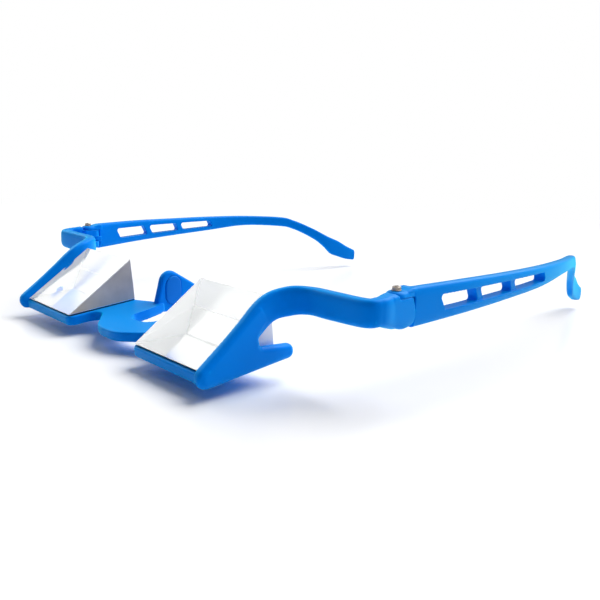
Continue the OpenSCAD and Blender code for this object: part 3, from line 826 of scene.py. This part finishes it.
def prismPiece(name, sign):
    low, height = prism["lift"], prism["height"]
    wedge = [(0.0, low), (prismBase, low), (prismBase, height)]
    ends = sorted((sign * prismIn, sign * prismOut))
    bm = bmesh.new()
    rows = [[bm.verts.new((x, *seatPoint(*p))) for p in wedge] for x in ends]
    bm.faces.new(rows[0])
    bm.faces.new(rows[1][::-1])
    for i in range(3):
        j = (i + 1) % 3
        bm.faces.new((rows[0][j], rows[0][i], rows[1][i], rows[1][j]))
    bmesh.ops.recalc_face_normals(bm, faces=bm.faces)
    bmesh.ops.bevel(bm, geom=list(bm.edges), offset=prism["arris"], segments=2, profile=0.6,
                    affect="EDGES", clamp_overlap=True)
    slope = math.radians(prism["angle"] + seat["tilt"])
    # Each face takes the look of the side it lies on; the arrises and the outer end are ground pale,
    # and the inner ends take the darker copy, which is painted shade
    looks = (satinGlass, shadedGround, silver, outerGround, etchedGlass)
    facing = {0: (0, cosTilt, sinTilt), 1: (-sign, 0, 0), 2: (0, sinTilt, -cosTilt),
              4: (0, -math.sin(slope), math.cos(slope))}
    bm.normal_update()
    for f in bm.faces:
        along = [k for k, normal in facing.items() if f.normal.dot(Vector(normal)) > 0.999]
        f.material_index = along[0] if along else 3
    data = bpy.data.meshes.new(name)
    bm.to_mesh(data)
    bm.free()
    obj = newObject(name, data)
    settled(obj)
    data.polygons.foreach_set("use_smooth", [False] * len(data.polygons))
    for m in looks:
        data.materials.append(m)
    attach(obj, "front")
    return obj


for sign, node in ((1, "prism_left"), (-1, "prism_right")):
    piece = prismPiece("prismLeft" if sign > 0 else "prismRight", sign)
    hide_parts(node)
print("prisms made")


# Hinge screws, washers and threaded inserts

screw = {
    "start": 0.2,                       # its tip, over the insert's lower end
    "point": 0.15,                      # chamfer of the tip
    "plain": 0.25,                      # from the tip to the thread
    "pitch": 0.3, "thread": 0.1,        # spacing and depth of the thread
    "rim": 0.06, "crown": 0.24,         # softness under the head and over it
    "mouth": 0.05, "drill": 0.12,       # chamfer of the socket, and the cone at its bottom
}
ringLook = {
    "edge": 0.04,
    "grooveWide": 0.12, "grooveFloor": 0.06, "grooveDeep": 0.1,     # half widths, and depth
}


# Turned piece round the hinge axis; each row is a height, a radius and whether it is a hexagon
def turned(rows, ring=False):
    steps, sixth = drawn["turnSides"], math.pi / 3
    angles = 2 * math.pi * np.arange(steps) / steps
    hexagon = math.cos(sixth / 2) / np.cos(angles % sixth - sixth / 2)
    verts = []
    for z, r, six in rows:
        reach = r * (hexagon if six else np.ones(steps))
        verts += [np.array((hingeX + a * math.cos(t), hingeY + a * math.sin(t), z))
                  for a, t in zip(reach, angles)]
    return verts, stitched(len(rows), steps, ring)


def screwShape():
    shank, head, top = hinge["screw"], hinge["head"], headZ + hinge["headHigh"]
    low, point, pitch = insertZ + screw["start"], screw["point"], screw["pitch"]
    rim, crown = screw["rim"], screw["crown"]
    rows = [(low, shank - point, False), (low + point, shank, False)]
    z = low + screw["plain"]
    while z < insertZ + hinge["insertLength"] - pitch:
        rows += [(z, shank, False), (z + 0.4 * pitch, shank - screw["thread"], False),
                 (z + 0.8 * pitch, shank, False)]
        z += pitch
    rows += [(headZ, shank, False), (headZ, head - rim, False), (headZ + rim, head, False)]
    rows += [(top - crown + crown * math.sin(a), head - crown + crown * math.cos(a), False)
             for a in np.radians([0, 15, 30, 45, 60, 75, 90])]
    floor, wide, mouth = top - hinge["socketDeep"], hinge["socket"], screw["mouth"]
    rows += [(top, wide + mouth, True), (top - mouth, wide, True), (floor, wide, True),
             (floor - screw["drill"], 0.1, False)]
    return turned(rows)


def ringShape(low, high, outer, inner, grooves=0):
    edge, wide, floor = ringLook["edge"], ringLook["grooveWide"], ringLook["grooveFloor"]
    deep = outer - ringLook["grooveDeep"]
    rows = [(low, inner, False), (low, outer - edge, False), (low + edge, outer, False)]
    for k in range(grooves):
        z = low + (high - low) * (k + 1) / (grooves + 1)
        rows += [(z - wide, outer, False), (z - floor, deep, False), (z + floor, deep, False),
                 (z + wide, outer, False)]
    rows += [(high - edge, outer, False), (high, outer - edge, False), (high, inner, False)]
    return turned(rows, True)


washer = ringShape(washerZ, headZ, hinge["washer"], hinge["screw"] + hinge["play"])
insert = ringShape(insertZ, insertZ + hinge["insertLength"], hinge["insert"],
                   hinge["screw"] + hinge["insertGap"], 3)
turnedPieces = (
    ("hingeScrew", "hinge_screw", screwShape(), steel, "screw_steel"),
    ("hingeWasher", "hinge_washer", washer, steel, "screw_steel"),
    ("hingeInsert", "hinge_insert", insert, brass, "insert_brass"),
)
for title, node, shape, material, slotName in turnedPieces:
    left = asObject(title + "Left", shape)
    settled(left)
    left.data.set_sharp_from_angle(angle=math.radians(32))
    left.data.materials.append(material)
    for piece, side in ((left, "left"), (mirrorCopy(left, title + "Right"), "right")):
        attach(piece, "front")
        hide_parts(node + "_" + side)
print("hinge hardware turned")


# The coat and the bond are flat layers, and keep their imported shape
finishes = {"mirror_coat": silver, "bonding_bed": epoxy}
for name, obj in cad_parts.items():
    for start, material in finishes.items():
        if name.startswith(start):
            obj.data.materials.clear()
            obj.data.materials.append(material)


# Camera, where the photograph was taken from
view = {
    "place": (152.154, -156.603, 48.150), "nearest": 5,     # millimetres
    "azimuth": 45.542, "down": 12.396, "roll": 1.982,   # degrees; azimuth is to the left of +Y
    "focal": 650.16, "middle": (300.58, 299.87), "frame": 600,      # pixels
    "sensor": 36,
}


def addCamera():
    a, e, r = (math.radians(view[k]) for k in ("azimuth", "down", "roll"))
    ahead = Vector((-math.sin(a) * math.cos(e), math.cos(a) * math.cos(e), -math.sin(e)))
    right = Vector((math.cos(a), math.sin(a), 0))
    up = right.cross(ahead)
    across = math.cos(r) * right + math.sin(r) * up
    upward = -math.sin(r) * right + math.cos(r) * up
    (middleX, middleY), size = view["middle"], view["frame"]
    data = bpy.data.cameras.new("camera")
    data.sensor_width = view["sensor"]
    data.lens = view["focal"] / size * view["sensor"]
    data.shift_x = (size / 2 - middleX) / size
    data.shift_y = (middleY - size / 2) / size
    data.clip_start = view["nearest"] * mm
    obj = newObject("camera", data)
    turn = Matrix((across, upward, -ahead)).transposed()
    obj.matrix_world = Matrix.Translation(Vector(view["place"]) * mm) @ turn.to_4x4()
    bpy.context.scene.camera = obj


addCamera()


# Light and table, in metres: a white cove, a large soft box high on the left, and a wide sky behind
studio = {
    "table": "#fafafa", "tableSize": 8.0, "tableZ": -0.003,
    "fade": (0.15, 0.5),        # from the middle, where the table turns into plain white
    "ambient": 0.1,             # strength of the room's light
    "box": 1.9, "boxSize": (0.4, 0.52), "boxFrom": (-0.83, -0.14, 0.56),
    "sky": 3.9, "skyAngle": 50.0, "skyFrom": (0.1, 0.6, 0.79),
}


def addLight(name, kind, power, towards, size=None, angle=None):
    data = bpy.data.lights.new(name, kind)
    data.energy = power
    if size:
        data.shape = "RECTANGLE"
        data.size, data.size_y = size
    if angle:
        data.angle = math.radians(angle)
    obj = newObject(name, data)
    obj.location = towards
    obj.rotation_euler = Vector(towards).to_track_quat("Z", "Y").to_euler()


# 1 for the rays that see the white background: from the camera, and through or off glass and metal
def seenRays(owner):
    path = addNode(owner, "ShaderNodeLightPath")
    seen = addNode(owner, "ShaderNodeMath", {"operation": "MAXIMUM"},
                   {0: (path, "Is Camera Ray"), 1: (path, "Is Glossy Ray")})
    return addNode(owner, "ShaderNodeMath", {"operation": "MAXIMUM"},
                   {0: (seen, 0), 1: (path, "Is Transmission Ray")})


# A satin acrylic sheet that fades into white away from the part
def addTable():
    half, z = studio["tableSize"] / 2, studio["tableZ"]
    corners = [(x * half, y * half, z) for x, y in ((-1, -1), (1, -1), (1, 1), (-1, 1))]
    data = bpy.data.meshes.new("table")
    data.from_pydata(corners, [], [(0, 1, 2, 3)])
    obj = newObject("table", data)
    material = newMaterial("acrylicSheet")
    data.materials.append(material)
    surface = addNode(material, "ShaderNodeBsdfPrincipled", {
        "Base Color": hexColour(studio["table"]), "Roughness": 0.3, "IOR": 1.5,
        "Specular IOR Level": 0.25})
    where = addNode(material, "ShaderNodeTexCoord")
    away = addNode(material, "ShaderNodeVectorMath", {"operation": "LENGTH"},
                   {0: (where, "Object")})
    start, end = studio["fade"]
    fade = addNode(material, "ShaderNodeMapRange", {
        "interpolation_type": "SMOOTHSTEP", "From Min": start, "From Max": end},
        {"Value": (away, "Value")})
    share = addNode(material, "ShaderNodeMath", {"operation": "MULTIPLY"},
                    {0: (fade, "Result"), 1: (seenRays(material), 0)})
    white = addNode(material, "ShaderNodeEmission", {"Strength": 1.0})
    mix = addNode(material, "ShaderNodeMixShader",
                  links={0: (share, 0), 1: (surface, "BSDF"), 2: (white, 0)})
    addNode(material, "ShaderNodeOutputMaterial", links={"Surface": (mix, 0)})


def addWorld():
    world = bpy.data.worlds.new("studio")
    bpy.context.scene.world = world
    world.use_nodes = True
    world.node_tree.nodes.clear()
    paper = hexColour("#ffffff")
    plain, white = (addNode(world, "ShaderNodeBackground", {"Color": paper, "Strength": strength})
                    for strength in (studio["ambient"], 1.0))
    mix = addNode(world, "ShaderNodeMixShader",
                  links={0: (seenRays(world), 0), 1: (plain, 0), 2: (white, 0)})
    addNode(world, "ShaderNodeOutputWorld", links={"Surface": (mix, 0)})


addTable()
addWorld()
addLight("softBox", "AREA", studio["box"], studio["boxFrom"], size=studio["boxSize"])
addLight("skylight", "SUN", studio["sky"], studio["skyFrom"], angle=studio["skyAngle"])
bpy.context.scene.view_settings.view_transform = "Standard"
print("studio set")
